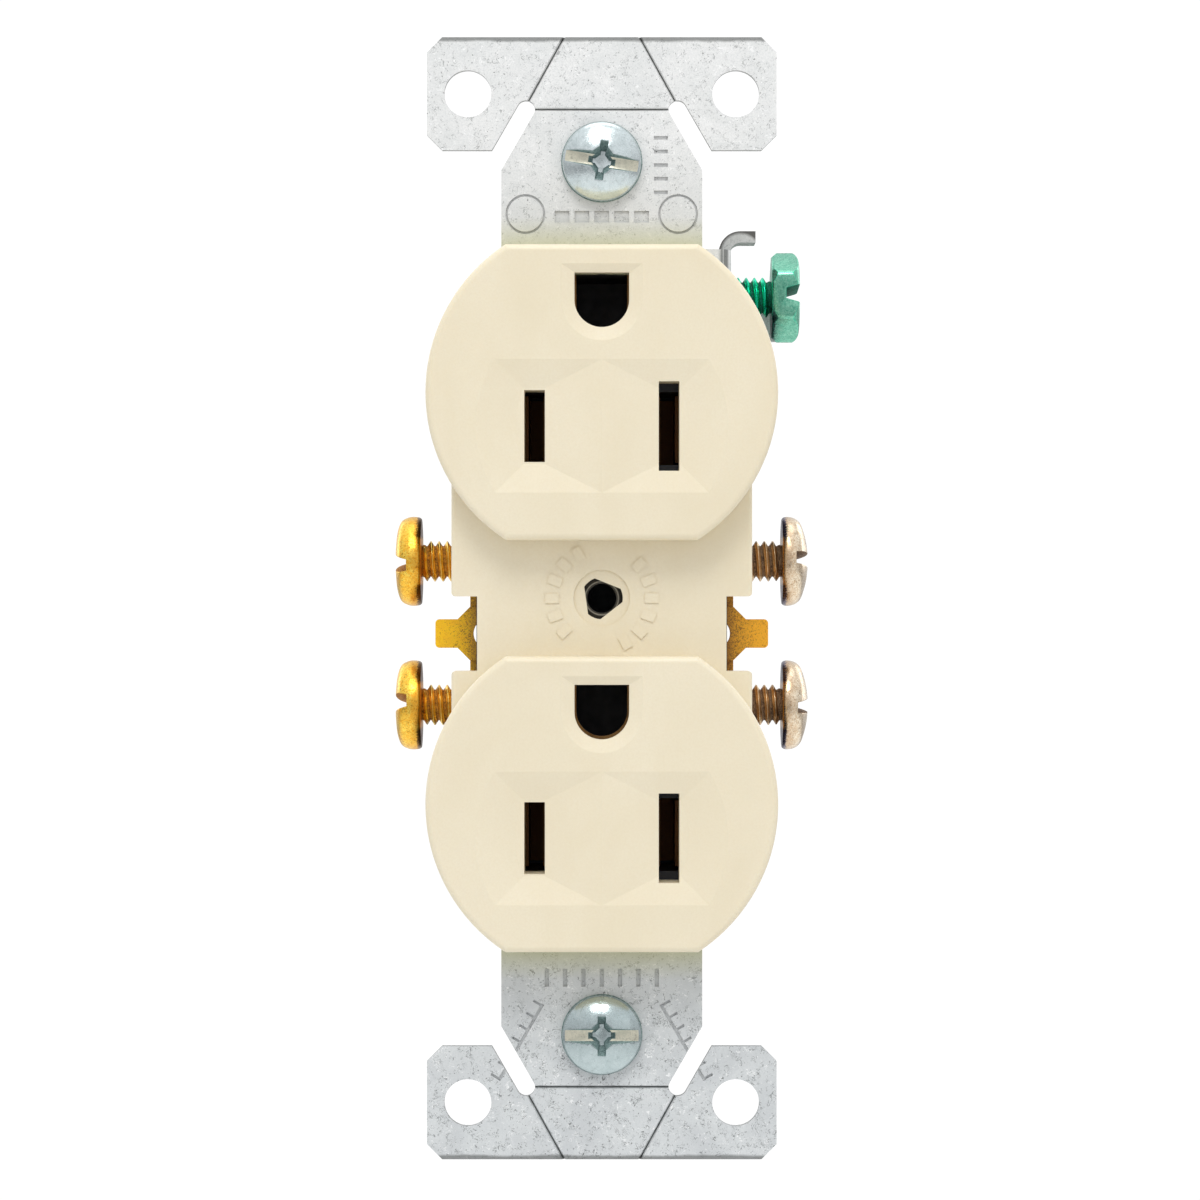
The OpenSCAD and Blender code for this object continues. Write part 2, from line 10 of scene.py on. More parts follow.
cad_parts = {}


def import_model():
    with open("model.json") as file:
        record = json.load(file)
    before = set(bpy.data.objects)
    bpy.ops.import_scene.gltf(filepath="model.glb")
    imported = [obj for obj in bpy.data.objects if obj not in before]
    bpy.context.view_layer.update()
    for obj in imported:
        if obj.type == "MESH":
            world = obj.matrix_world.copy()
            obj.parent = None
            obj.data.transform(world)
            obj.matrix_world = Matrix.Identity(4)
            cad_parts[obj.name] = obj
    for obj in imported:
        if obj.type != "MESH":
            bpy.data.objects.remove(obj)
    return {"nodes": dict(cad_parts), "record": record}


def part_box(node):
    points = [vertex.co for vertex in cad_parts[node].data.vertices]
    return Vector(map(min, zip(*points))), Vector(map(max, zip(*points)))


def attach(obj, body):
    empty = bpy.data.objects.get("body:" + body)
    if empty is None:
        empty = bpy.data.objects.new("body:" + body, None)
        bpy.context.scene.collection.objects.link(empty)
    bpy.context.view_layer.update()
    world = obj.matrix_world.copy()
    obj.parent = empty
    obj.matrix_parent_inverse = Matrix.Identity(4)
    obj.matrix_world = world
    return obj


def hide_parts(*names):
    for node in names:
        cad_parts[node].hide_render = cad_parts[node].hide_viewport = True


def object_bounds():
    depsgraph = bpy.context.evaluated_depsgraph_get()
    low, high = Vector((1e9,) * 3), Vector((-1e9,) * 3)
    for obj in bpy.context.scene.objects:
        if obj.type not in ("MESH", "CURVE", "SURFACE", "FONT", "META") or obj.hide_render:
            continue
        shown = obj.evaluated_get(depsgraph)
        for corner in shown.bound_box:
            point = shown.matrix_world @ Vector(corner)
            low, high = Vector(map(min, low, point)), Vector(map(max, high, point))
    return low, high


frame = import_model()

CAD_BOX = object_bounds()
MM = 0.001
NODES = frame["nodes"]

# screws, in millimetres
HEAD_T = 2.6                    # thickness of a wiring screw's head
HEX_T = 2.7                     # of the grounding screw's
PAN_T = 2.3                     # and of a mounting screw's
WIRING_THREAD = (1.97, 1.5)     # radii of a wiring screw's crests and grooves
MOUNTING_THREAD = (1.74, 1.35)  # and of a mounting screw's
PITCH = 0.794                   # 32 threads to the inch

# strap and cover
FACE_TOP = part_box("face_cover")[1].z
STRAP_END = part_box("strap")[1].z
STRAP_FRONT = -1.1 * MM         # front of the strap's sheet, whose rear is at Y = 0
STAMP_FLOOR = -0.88 * MM        # bottom of the marks stamped in it
NECK_SIDE = 9.6 * MM            # half the width of its necks
CURL_X, CURL_Z = 13.4 * MM, 33.35 * MM      # axis of the curl on its grounding terminal
LAND_FRONT = -3.4 * MM          # front of the land between the faces


# ---- colours and material nodes ----

def linear(red, green, blue):
    """An sRGB colour, 0 to 255 a channel, as the linear colour that a shader takes."""
    def channel(value):
        value /= 255
        return value / 12.92 if value <= 0.04045 else ((value + 0.055) / 1.055) ** 2.4
    return (channel(red), channel(green), channel(blue), 1.0)


class Maker:
    """Builds one procedural material around its Principled shader."""

    def __init__(self, name, color, roughness, metallic=0.0):
        self.material = bpy.data.materials.new(name)
        self.material.use_nodes = True
        self.tree = self.material.node_tree
        self.shader = self.tree.nodes["Principled BSDF"]
        self.shader.inputs["Base Color"].default_value = color
        self.shader.inputs["Roughness"].default_value = roughness
        self.shader.inputs["Metallic"].default_value = metallic
        self.coords = self.tree.nodes.new("ShaderNodeTexCoord").outputs["Object"]

    def link(self, output, node_input):
        self.tree.links.new(output, node_input)

    def stretched(self, x=1.0, y=1.0, z=1.0):
        """Object coordinates stretched along the axes, for streaks."""
        node = self.tree.nodes.new("ShaderNodeMapping")
        node.inputs["Scale"].default_value = (x, y, z)
        self.link(self.coords, node.inputs["Vector"])
        return node.outputs["Vector"]

    def noise(self, size_mm, detail=4.0, rough=0.55, coords=None, distortion=0.0):
        """Noise with features about size_mm across."""
        node = self.tree.nodes.new("ShaderNodeTexNoise")
        node.inputs["Scale"].default_value = 1 / (size_mm * MM)
        node.inputs["Detail"].default_value = detail
        node.inputs["Roughness"].default_value = rough
        node.inputs["Distortion"].default_value = distortion
        self.link(coords or self.coords, node.inputs["Vector"])
        return node.outputs["Fac"]

    def cell_shade(self, size_mm, coords=None):
        """A random grey for each cell, about size_mm across."""
        node = self.tree.nodes.new("ShaderNodeTexVoronoi")
        node.inputs["Scale"].default_value = 1 / (size_mm * MM)
        self.link(coords or self.coords, node.inputs["Vector"])
        grey = self.tree.nodes.new("ShaderNodeSeparateColor")
        self.link(node.outputs["Color"], grey.inputs["Color"])
        return grey.outputs["Red"]

    def spread(self, value, low, high, out_low=0.0, out_high=1.0):
        """Maps value from low..high to out_low..out_high, clamped."""
        node = self.tree.nodes.new("ShaderNodeMapRange")
        for name, number in (("From Min", low), ("From Max", high),
                             ("To Min", out_low), ("To Max", out_high)):
            node.inputs[name].default_value = number
        self.link(value, node.inputs["Value"])
        return node.outputs["Result"]

    def math(self, operation, a, b):
        """A math node's result; a and b are numbers or nodes' outputs."""
        node = self.tree.nodes.new("ShaderNodeMath")
        node.operation = operation
        for slot, item in zip(node.inputs, (a, b)):
            if isinstance(item, (int, float)):
                slot.default_value = item
            else:
                self.link(item, slot)
        return node.outputs["Value"]

    def mix(self, amount, first, second):
        """first with second laid over it by amount; each is a colour or a node's output."""
        node = self.tree.nodes.new("ShaderNodeMix")
        node.data_type = "RGBA"
        for slot, item in ((node.inputs[0], amount), (node.inputs[6], first), (node.inputs[7], second)):
            if isinstance(item, (int, float, tuple)):
                slot.default_value = item
            else:
                self.link(item, slot)
        return node.outputs[2]

    def axis(self, name):
        """One of the object coordinates, X, Y or Z, in metres."""
        node = self.tree.nodes.new("ShaderNodeSeparateXYZ")
        self.link(self.coords, node.inputs["Vector"])
        return node.outputs[name]

    def ring(self, centre_x, centre_z, low, high, soft):
        """1 between two radii, in millimetres, about a point of the strap's plane."""
        x = self.math("SUBTRACT", self.axis("X"), centre_x)
        z = self.math("SUBTRACT", self.axis("Z"), centre_z)
        squares = self.math("ADD", self.math("MULTIPLY", x, x), self.math("MULTIPLY", z, z))
        away = self.math("SQRT", squares, 0.0)
        return self.math("MULTIPLY", self.spread(away, (low - soft) * MM, low * MM),
                         self.spread(away, high * MM, (high + soft) * MM, 1, 0))

    def edges(self):
        """Height of the surface around each point: low in corners, high on edges."""
        node = self.tree.nodes.new("ShaderNodeNewGeometry")
        return node.outputs["Pointiness"]

    def color(self, output):
        self.link(output, self.shader.inputs["Base Color"])

    def roughness(self, output):
        self.link(output, self.shader.inputs["Roughness"])

    def bump(self, height, depth_mm, strength=1.0, after=None):
        """Relief from a height output, laid over the normal that another bump gave."""
        node = self.tree.nodes.new("ShaderNodeBump")
        node.inputs["Strength"].default_value = strength
        node.inputs["Distance"].default_value = depth_mm * MM
        self.link(height, node.inputs["Height"])
        if after is not None:
            self.link(after, node.inputs["Normal"])
        self.link(node.outputs["Normal"], self.shader.inputs["Normal"])
        return node.outputs["Normal"]

    def set(self, **values):
        """Sets uniform shader inputs by name, with _ for a space."""
        for name, value in values.items():
            self.shader.inputs[name.replace("_", " ")].default_value = value


# ---- materials ----

def ivory_plastic():
    """Satin ivory with slow flow marks and a fine grain."""
    m = Maker("ivory_plastic", linear(231, 221, 195), 0.4)
    flow = m.noise(9, 3, 0.5, m.stretched(1, 1, 0.6), 0.6)
    tint = m.mix(m.spread(flow, 0.35, 0.65), linear(232, 222, 197), linear(228, 217, 190))
    grain = m.noise(0.22, 3, 0.6)
    tint = m.mix(m.spread(grain, 0.35, 0.75, 0, 0.35), tint, linear(222, 208, 177))
    # soft shade on the flanks of the bars that stand round the middle hole
    depth = m.axis("Y")
    flank = m.math("MULTIPLY", m.spread(depth, LAND_FRONT - 0.12 * MM, LAND_FRONT - 0.1 * MM),
                   m.spread(depth, LAND_FRONT - 0.03 * MM, LAND_FRONT - 0.005 * MM, 1, 0))
    flank = m.math("MULTIPLY", flank, m.ring(0, 0, 3.8, 5.8, 0.1))
    tint = m.mix(m.math("MULTIPLY", flank, 0.55), tint, linear(186, 164, 122))
    m.color(tint)
    m.roughness(m.spread(m.noise(1.2, 4), 0.3, 0.7, 0.34, 0.46))
    fine = m.bump(m.noise(0.16, 3, 0.6), 0.012, 0.35)
    m.bump(flow, 0.05, 0.12, fine)
    m.set(Subsurface_Weight=0.1, Subsurface_Radius=(0.9, 0.75, 0.5), Subsurface_Scale=0.0012,
          IOR=1.5, Specular_IOR_Level=0.4)
    return m.material


def ticks(m, size_mm, thickness, share):
    """Short curved hairlines, where a noise about size_mm across passes its middle value."""
    level = m.math("SUBTRACT", m.noise(size_mm, 1, 0.4, None, 1.6), 0.5)
    line = m.spread(m.math("ABSOLUTE", level, 0.0), thickness * 0.5, thickness, 1, 0)
    patches = m.spread(m.noise(size_mm * 1.7, 2, 0.6), 1 - share, 1.04 - share)
    return m.math("MULTIPLY", line, patches)


def zinc_sheet(m):
    """Clouded zinc, painted paler towards the top as painted light, with spangle, fine grain and short
    hairlines.
    """
    height = m.axis("Z")
    cloud = m.noise(6, 4, 0.6, None, 1.0)
    # painted light: the sheet is painted paler at the top than at the bottom, as light from above falls
    # on it
    upper = m.mix(m.spread(cloud, 0.38, 0.64), linear(237, 237, 235), linear(227, 228, 226))
    lower = m.mix(m.spread(cloud, 0.38, 0.64), linear(214, 217, 217), linear(202, 205, 206))
    zinc = m.mix(m.spread(height, -42 * MM, 42 * MM), lower, upper)
    spangle = m.cell_shade(1.9, m.stretched(1, 1, 0.8))
    zinc = m.mix(m.math("MULTIPLY", spangle, 0.08), zinc, linear(196, 203, 206))
    fine = m.spread(m.noise(0.16, 4, 0.75), 0.4, 0.75, 0, 0.45)
    zinc = m.mix(fine, zinc, linear(178, 183, 184))
    for size, thickness, shade in ((0.5, 0.03, 96), (0.34, 0.035, 116), (0.8, 0.018, 84)):
        mark = ticks(m, size, thickness, 0.43)
        mark = m.math("MULTIPLY", mark, m.spread(height, -30 * MM, 30 * MM, 0.8, 0.5))
        zinc = m.mix(mark, zinc, linear(shade, shade + 4, shade + 3))
    pale = m.math("MULTIPLY", ticks(m, 0.6, 0.03, 0.45), 0.6)
    return m.mix(pale, zinc, linear(253, 253, 252))


def neck_shade(m, zinc):
    """Painted shade, greyer towards the faces, and a painted yellow reflection of them on the front of
    each neck.
    """
    apart = m.math("ABSOLUTE", m.axis("Z"), 0.0)
    # painted shade: greyer towards the faces, whose edges hide the light from above
    zinc = m.mix(m.spread(apart, 36 * MM, 44 * MM, 0.22, 0), zinc, linear(180, 184, 182))
    aside = m.math("ABSOLUTE", m.axis("X"), 0.0)
    on_neck = m.math("MULTIPLY", m.spread(m.axis("Y"), -0.2 * MM, 0.2 * MM, 1, 0),
                     m.spread(aside, NECK_SIDE + 0.2 * MM, NECK_SIDE + 0.6 * MM, 1, 0))
    # painted reflection: the faces' yellow painted onto the front of each neck beside them
    face_reflection = m.spread(apart, FACE_TOP, FACE_TOP + 3 * MM, 0.62, 0)
    return m.mix(m.math("MULTIPLY", face_reflection, on_neck), zinc, linear(186, 186, 128))


def stamped_marks_shade(m, zinc):
    """Painted shade in the stamped marks: they darken from their very edge, and the scores of the ears
    at their bottom.
    """
    depth = m.axis("Y")
    apart = m.math("ABSOLUTE", m.axis("Z"), 0.0)
    sunk = m.math("SUBTRACT", depth, m.spread(apart, 46.1 * MM, 46.3 * MM, 0, 0.18 * MM))
    sunk = m.math("MULTIPLY", m.spread(sunk, STRAP_FRONT + 0.03 * MM, STRAP_FRONT + 0.14 * MM),
                  m.spread(depth, -0.55 * MM, -0.35 * MM, 1, 0))
    off_floor = m.math("ABSOLUTE", m.math("SUBTRACT", depth, STAMP_FLOOR), 0.0)
    sunk = m.math("MULTIPLY", sunk, m.spread(off_floor, 0.01 * MM, 0.02 * MM, 0.06, 0.8))
    # painted shade inside the marks and scores
    return m.mix(sunk, zinc, linear(88, 90, 88))


def galvanised_steel():
    """Zinc sheet with pits, with painted shade at the necks, marks, ends, curl and hole, and a painted
    reflection of the faces on the necks.
    """
    m = Maker("galvanised_steel", linear(232, 235, 236), 0.44, 0.1)
    pits = m.spread(m.noise(0.2, 2, 0.5), 0.7, 0.74)
    zinc = m.mix(m.math("MULTIPLY", pits, 0.85), zinc_sheet(m), linear(78, 82, 78))
    zinc = neck_shade(m, zinc)

    # painted shade on the curl behind the sheet, where little light reaches
    behind = m.spread(m.axis("Y"), 1.5 * MM, 2.5 * MM)
    curl = m.math("MULTIPLY", m.ring(CURL_X, CURL_Z, 0, 2.9, 0.3), behind)
    zinc = m.mix(m.math("MULTIPLY", curl, 0.35), zinc, linear(132, 134, 126))

    apart = m.math("ABSOLUTE", m.axis("Z"), 0.0)
    # painted shade on the rolled ends of the strap, where the sheet turns away from the light
    rolled = m.math("ADD", apart, m.spread(m.noise(2.2, 3), 0.3, 0.7, -0.08 * MM, 0.08 * MM))
    rolled = m.spread(rolled, STRAP_END - 0.5 * MM, STRAP_END - 0.26 * MM, 0, 0.75)
    zinc = m.mix(rolled, zinc, linear(96, 98, 96))
    zinc = stamped_marks_shade(m, zinc)

    # painted shade: a dark band round the outer part of the curl
    outside = m.math("MULTIPLY", m.ring(CURL_X, CURL_Z, 2.02, 2.9, 0.28), behind)
    zinc = m.mix(m.math("MULTIPLY", outside, 0.85), zinc, linear(46, 42, 36))
    # painted shade down the threaded middle hole, with a lighter ring at its lip
    hole = m.math("MAXIMUM", m.ring(0, 0, 1.67, 2.2, 0.04), m.ring(0, 0, 0, 1.52, 0.04))
    hole = m.mix(m.spread(hole, 0, 1, 0, 0.85), linear(150, 146, 134), linear(44, 40, 34))
    zinc = m.mix(m.ring(0, 0, 0, 2.2, 0.04), zinc, hole)

    m.color(zinc)
    m.roughness(m.spread(m.noise(1.1, 4, 0.6), 0.3, 0.7, 0.36, 0.54))
    dull = m.bump(m.noise(0.3, 4, 0.7), 0.02, 0.4)
    m.bump(pits, -0.03, 0.6, dull)
    return m.material


def dark_thermoset():
    """Dull slate-black moulding with a pale mineral filler."""
    m = Maker("dark_thermoset", linear(64, 66, 72), 0.5)
    flow = m.noise(7, 4, 0.6, None, 1.5)
    tint = m.mix(m.spread(flow, 0.35, 0.65), linear(58, 60, 67), linear(72, 74, 81))
    filler = m.spread(m.noise(0.12, 2, 0.5), 0.66, 0.74, 0, 0.5)
    m.color(m.mix(filler, tint, linear(92, 94, 100)))
    m.roughness(m.spread(m.noise(0.9, 4), 0.3, 0.7, 0.4, 0.58))
    m.bump(m.noise(0.22, 3, 0.6), 0.02, 0.4)
    m.set(IOR=1.5)
    return m.material


def plated(name, bright, dull, dark, roughness, tarnish_and_shade, mottle=0.5, specks=0.0, over=None):
    """A bright metal finish with a duller cast in patches, fine mottling and dark specks, dark
    tarnished spots and painted shade in corners; over(maker, colour) may lay more on top."""
    m = Maker(name, bright, roughness, 1.0)
    patch = m.spread(m.noise(1.5, 4, 0.65, None, 0.8), 0.38, 0.68)
    tint = m.mix(m.math("MULTIPLY", patch, 0.6), bright, dull)
    worms = m.spread(m.noise(0.26, 3, 0.65, None, 1.5), 0.46, 0.6, 0, mottle)
    tint = m.mix(worms, tint, dull)
    fine = m.spread(m.noise(0.2, 3, 0.6, None, 1.2), 0.55, 0.64, 0, specks)
    tint = m.mix(fine, tint, dark)
    stain = m.spread(m.noise(0.42, 4, 0.75), 0.57, 0.74, 0, tarnish_and_shade)
    # painted shade: darker in concave corners, where pointiness is low
    corner = m.spread(m.edges(), 0.34, 0.48, tarnish_and_shade, 0)
    tint = m.mix(m.math("MAXIMUM", stain, corner), tint, dark)
    m.color(over(m, tint) if over else tint)
    m.roughness(m.spread(m.noise(0.8, 4), 0.3, 0.7, roughness - 0.07, roughness + 0.1))
    m.bump(m.noise(0.2, 3, 0.6), 0.012, 0.6)
    return m.material


def head_place(node, thickness):
    """Distance of a head's underside from the outlet's middle plane, and the axis's height."""
    low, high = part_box(node)
    return max(abs(low.x), abs(high.x)) - thickness * MM, (low.z + high.z) / 2


def underside_reflection(upper, lower, thickness, band_mm, tone, between):
    """Painted dark reflection on the side of a head next to its underside: tone above and below the
    axis of either screw, between on the stretch that the two leave and as a faint painted warm
    reflection further out."""
    under, upper_z = head_place(upper, thickness)
    lower_z = head_place(lower, thickness)[1]

    def over(m, tint):
        rise = m.math("SUBTRACT", m.math("ABSOLUTE", m.axis("X"), 0.0), under)
        ragged = m.spread(m.noise(0.22, 3, 0.7), 0.3, 0.7, -0.16 * MM, 0.16 * MM)
        rise = m.math("ADD", rise, ragged)
        # painted reflection: a faint warm cast of between next to the underside
        tint = m.mix(m.spread(rise, 0.4 * MM, 1.5 * MM, 0.45, 0), tint, between)
        off = m.math("SUBTRACT", m.axis("Z"), (upper_z + lower_z) / 2)
        off = m.math("SUBTRACT", m.math("ABSOLUTE", off, 0.0), (upper_z - lower_z) / 2)
        off = m.math("ADD", m.math("ABSOLUTE", off, 0.0), ragged)
        ends = m.spread(off, 2.1 * MM, 2.4 * MM)
        # painted dark reflection: a band of tone next to the underside
        band = m.spread(rise, band_mm * MM, (band_mm + 0.12) * MM, 0.85, 0)
        return m.mix(m.math("MULTIPLY", band, ends), tint, tone)
    return over


def green_underside_reflection(m, tint):
    """Painted dark reflection on the lower part of the hexagon, next to its underside."""
    under, axis_z = head_place("ground_screw", HEX_T)
    rise = m.math("SUBTRACT", m.axis("X"), under)
    rise = m.math("ADD", rise, m.spread(m.noise(0.3, 3, 0.7), 0.3, 0.7, -0.2 * MM, 0.2 * MM))
    below = m.spread(m.math("SUBTRACT", m.axis("Z"), axis_z), -2.0 * MM, -0.6 * MM, 0.9, 0.1)
    band = m.spread(rise, 0.15 * MM, 0.4 * MM, 1, 0)
    # painted dark reflection on the lower part, next to the underside
    return m.mix(m.math("MULTIPLY", band, below), tint, linear(12, 30, 48))


def darker_below(m, tint):
    """Painted shade: the lower mounting screw is painted darker than the upper one."""
    return m.mix(m.spread(m.axis("Z"), -1 * MM, 1 * MM, 0.4, 0), tint, linear(130, 150, 150))


def brass_strip():
    """Golden outside the body, redder on the right, and painted brown shade on the contacts inside."""
    m = Maker("brass_strip", linear(250, 186, 52), 0.34, 0.1)
    bright = m.mix(m.spread(m.axis("X"), -1 * MM, 1 * MM), linear(255, 202, 14), linear(250, 180, 34))
    dull, dark = linear(234, 156, 24), linear(104, 56, 16)
    patch = m.spread(m.noise(1.2, 4, 0.65, None, 0.8), 0.45, 0.7)
    tint = m.mix(m.math("MULTIPLY", patch, 0.35), bright, dull)
    grain = m.spread(m.noise(0.14, 3, 0.65, None, 1.0), 0.52, 0.7, 0, 0.5)
    tint = m.mix(grain, tint, dull)
    side = m.math("ABSOLUTE", m.axis("X"), 0.0)
    crowd = m.math("ADD", m.spread(side, 12.8 * MM, 15.0 * MM, 0.09, 0),
                   m.spread(m.axis("X"), -1 * MM, 1 * MM, 0, 0.03))
    specks = m.math("ADD", m.noise(0.13, 2, 0.6, None, 1.0), crowd)
    tint = m.mix(m.spread(specks, 0.61, 0.68, 0, 0.75), tint, dark)
    # painted shade: brown on the contacts inside the body, where little light reaches
    m.color(m.mix(m.spread(side, 11.6 * MM, 13.0 * MM, 0.94, 0), tint, linear(146, 94, 50)))
    m.roughness(m.spread(side, 11.6 * MM, 13.0 * MM, 0.6, 0.3))
    m.bump(m.noise(0.2, 3, 0.6), 0.012, 0.5)
    return m.material


def fibre():
    """Brown pressed fibre with strands along Z."""
    m = Maker("fibre", linear(120, 92, 66), 0.8)
    strands = m.noise(0.35, 5, 0.7, m.stretched(1, 1, 0.2), 1.0)
    m.color(m.mix(m.spread(strands, 0.35, 0.7), linear(104, 78, 55), linear(142, 112, 84)))
    m.bump(strands, 0.05, 0.6)
    return m.material


def shade_finish(name, light, dark):
    """Painted shade for driver slots and thread grooves: a dull, uneven dark colour."""
    m = Maker(name, light, 0.7)
    m.color(m.mix(m.spread(m.noise(0.2, 3, 0.7, None, 1.0), 0.42, 0.62), light, dark))
    m.roughness(m.spread(m.noise(0.5, 3), 0.3, 0.7, 0.6, 0.8))
    m.bump(m.noise(0.15, 3, 0.6), 0.02, 0.5)
    m.set(Specular_IOR_Level=0.2)
    return m.material


MATERIALS = {
    "ivory_plastic": ivory_plastic(),
    "galvanised_steel": galvanised_steel(),
    "dark_thermoset": dark_thermoset(),
    "brass_strip": brass_strip(),
    "contact_bronze": plated("contact_bronze", linear(170, 132, 88), linear(136, 102, 66),
                             linear(66, 48, 34), 0.42, 0.5),
    "brass_screw": plated("brass_screw", linear(255, 226, 104), linear(244, 172, 42),
                          linear(116, 66, 20), 0.32, 0.5, 0.85, 0.62,
                          underside_reflection("brass_screw_top", "brass_screw_bottom", HEAD_T, 0.36,
                                         linear(62, 40, 24), linear(212, 132, 34))),
    "nickel_screw": plated("nickel_screw", linear(250, 238, 214), linear(212, 184, 150),
                           linear(96, 70, 46), 0.26, 0.5, 0.8, 0.5,
                           underside_reflection("silver_screw_top", "silver_screw_bottom", HEAD_T, 0.34,
                                          linear(52, 56, 96), linear(164, 118, 66))),
    "green_screw": plated("green_screw", linear(140, 204, 178), linear(92, 172, 146),
                          linear(14, 84, 70), 0.28, 0.55, 0.95, 0.3, green_underside_reflection),
    "zinc_steel": plated("zinc_steel", linear(216, 226, 227), linear(184, 196, 197),
                         linear(84, 96, 94), 0.2, 0.45, 0.35, 0.15, darker_below),
    "spring_steel": plated("spring_steel", linear(178, 180, 182), linear(156, 158, 162),
                           linear(90, 90, 92), 0.34, 0.3),
    "fibre": fibre(),
}

# the finish of the wiring screws' threads, where the plating is thin
THREAD_MATERIALS = {
    "brass_screw": plated("brass_thread", linear(255, 226, 124), linear(246, 176, 72),
                          linear(66, 40, 18), 0.3, 0.7, 0.6),
    "nickel_screw": plated("nickel_thread", linear(236, 208, 166), linear(180, 142, 100),
                           linear(44, 30, 20), 0.34, 0.7, 0.6),
    "green_screw": plated("green_thread", linear(40, 232, 184), linear(20, 196, 152),
                          linear(4, 62, 46), 0.26, 0.6, 0.5),
    "zinc_steel": plated("zinc_worn", linear(228, 224, 204), linear(196, 196, 178),
                         linear(84, 86, 76), 0.34, 0.6, 0.6),
}

# and the painted shade of their slots' walls and thread grooves, and of the brass strips' edges
SHADE_MATERIALS = {
    "brass_screw": shade_finish("brass_shade", linear(216, 152, 58), linear(98, 56, 18)),
    "nickel_screw": shade_finish("nickel_shade", linear(154, 124, 94), linear(64, 46, 32)),
    "green_screw": shade_finish("green_shade", linear(14, 120, 94), linear(4, 60, 48)),
    "zinc_steel": shade_finish("zinc_shade", linear(140, 162, 160), linear(82, 104, 104)),
}


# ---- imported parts: finish and softened edges ----

def soften(piece, width_mm, angle=32, segments=2, index=-1):
    """Small round on the sharp edges of a piece; index gives the rounds a material of their own."""
    mod = piece.modifiers.new("edge_round", "BEVEL")
    mod.width = width_mm * MM
    mod.segments = segments
    mod.limit_method = "ANGLE"
    mod.angle_limit = math.radians(angle)
    mod.use_clamp_overlap = True
    mod.harden_normals = False
    mod.material = index


# widths of the rounds, in millimetres
EDGE_ROUND = {"strap": 0.06, "face_cover": 0.14, "back_body": 0.25, "hot_terminal": 0.07,
              "neutral_terminal": 0.07}

slot_of = {part["node"]: part["material_slot"] for part in frame["record"]["subparts"]}
for node, piece in NODES.items():
    piece.data.materials.clear()
    piece.data.materials.append(MATERIALS[slot_of[node]])
    # the brass strips' rounded edges take the painted shade
    shaded_edges = slot_of[node] == "brass_strip"
    if shaded_edges:
        piece.data.materials.append(SHADE_MATERIALS["brass_screw"])
    if node in EDGE_ROUND:
        soften(piece, EDGE_ROUND[node], index=1 if shaded_edges else -1)


# ---- mesh helpers ----

def finished(mesh, sharp=35):
    """Smooth shading that keeps edges sharper than the angle."""
    mesh.shade_smooth()
    mesh.set_sharp_from_angle(angle=math.radians(sharp))
    return mesh


def mesh_from(bm, name):
    """A cleaned mesh from bm, which is freed."""
    bmesh.ops.remove_doubles(bm, verts=bm.verts, dist=0.002 * MM)
    bmesh.ops.dissolve_degenerate(bm, dist=0.001 * MM, edges=bm.edges)
    bmesh.ops.recalc_face_normals(bm, faces=bm.faces)
    mesh = bpy.data.meshes.new(name)
    bm.to_mesh(mesh)
    bm.free()
    return mesh


def link_piece(name, mesh):
    piece = bpy.data.objects.new(name, mesh)
    bpy.context.scene.collection.objects.link(piece)
    return piece


def lathe(profile, steps=96):
    """Closed solid of revolution about Z from (radius, height) points in millimetres."""
    bm = bmesh.new()
    rings = []
    for radius, height in profile:
        if radius < 1e-6:
            rings.append([bm.verts.new((0, 0, height * MM))])
            continue
        turn = [2 * math.pi * i / steps for i in range(steps)]
        rings.append([bm.verts.new((radius * MM * math.cos(a), radius * MM * math.sin(a), height * MM))
                      for a in turn])
    for low, high in zip(rings, rings[1:]):
        for i in range(steps):
            j = (i + 1) % steps
            corners = [low[i % len(low)], low[j % len(low)], high[j % len(high)], high[i % len(high)]]
            unique = list(dict.fromkeys(corners))
            if len(unique) > 2:
                bm.faces.new(unique)
    return bm


def arc(cx, cy, radius, start, end, count):
    """Points on an arc in the lathe's plane, angles in degrees."""
    angles = [math.radians(start + (end - start) * i / count) for i in range(count + 1)]
    return [(cx + radius * math.cos(a), cy + radius * math.sin(a)) for a in angles]


def thread(top, bottom, crest, root, steps=64):
    """Right-hand V thread about Z from height top down to bottom, with a tapered tip, in
    millimetres."""
    # one turn's profile: part of the pitch, and height between groove and crest
    shape = [(0.0, 0.0), (0.08, 0.0), (0.2, 0.33), (0.44, 1.0), (0.56, 1.0), (0.8, 0.33), (0.92, 0.0)]
    turns = math.ceil((top - bottom) / PITCH) + 2
    bm = bmesh.new()
    lines = []
    for i in range(steps + 1):
        line = []
        for k in range(turns * len(shape)):
            part, rise = shape[k % len(shape)]
            height = bottom + (k // len(shape) - 1 + part + i / steps) * PITCH
            fade = min(max((top - height) / (0.7 * PITCH), 0), 1)
            lead = min(max((height - bottom) / PITCH, 0), 1)
            radius = root + (crest - root) * rise * fade * lead - 0.25 * (1 - lead)
            height = min(max(height, bottom), top)
            angle = 2 * math.pi * i / steps
            line.append(bm.verts.new((radius * MM * math.cos(angle), radius * MM * math.sin(angle),
                                      height * MM)))
        lines.append(line)
    for first, second in zip(lines, lines[1:]):
        for k in range(len(first) - 1):
            bm.faces.new((first[k], second[k], second[k + 1], first[k + 1]))
    bmesh.ops.remove_doubles(bm, verts=bm.verts, dist=0.002 * MM)
    bmesh.ops.dissolve_degenerate(bm, dist=0.001 * MM, edges=bm.edges)
    bmesh.ops.holes_fill(bm, edges=[e for e in bm.edges if e.is_boundary], sides=0)
    return bm


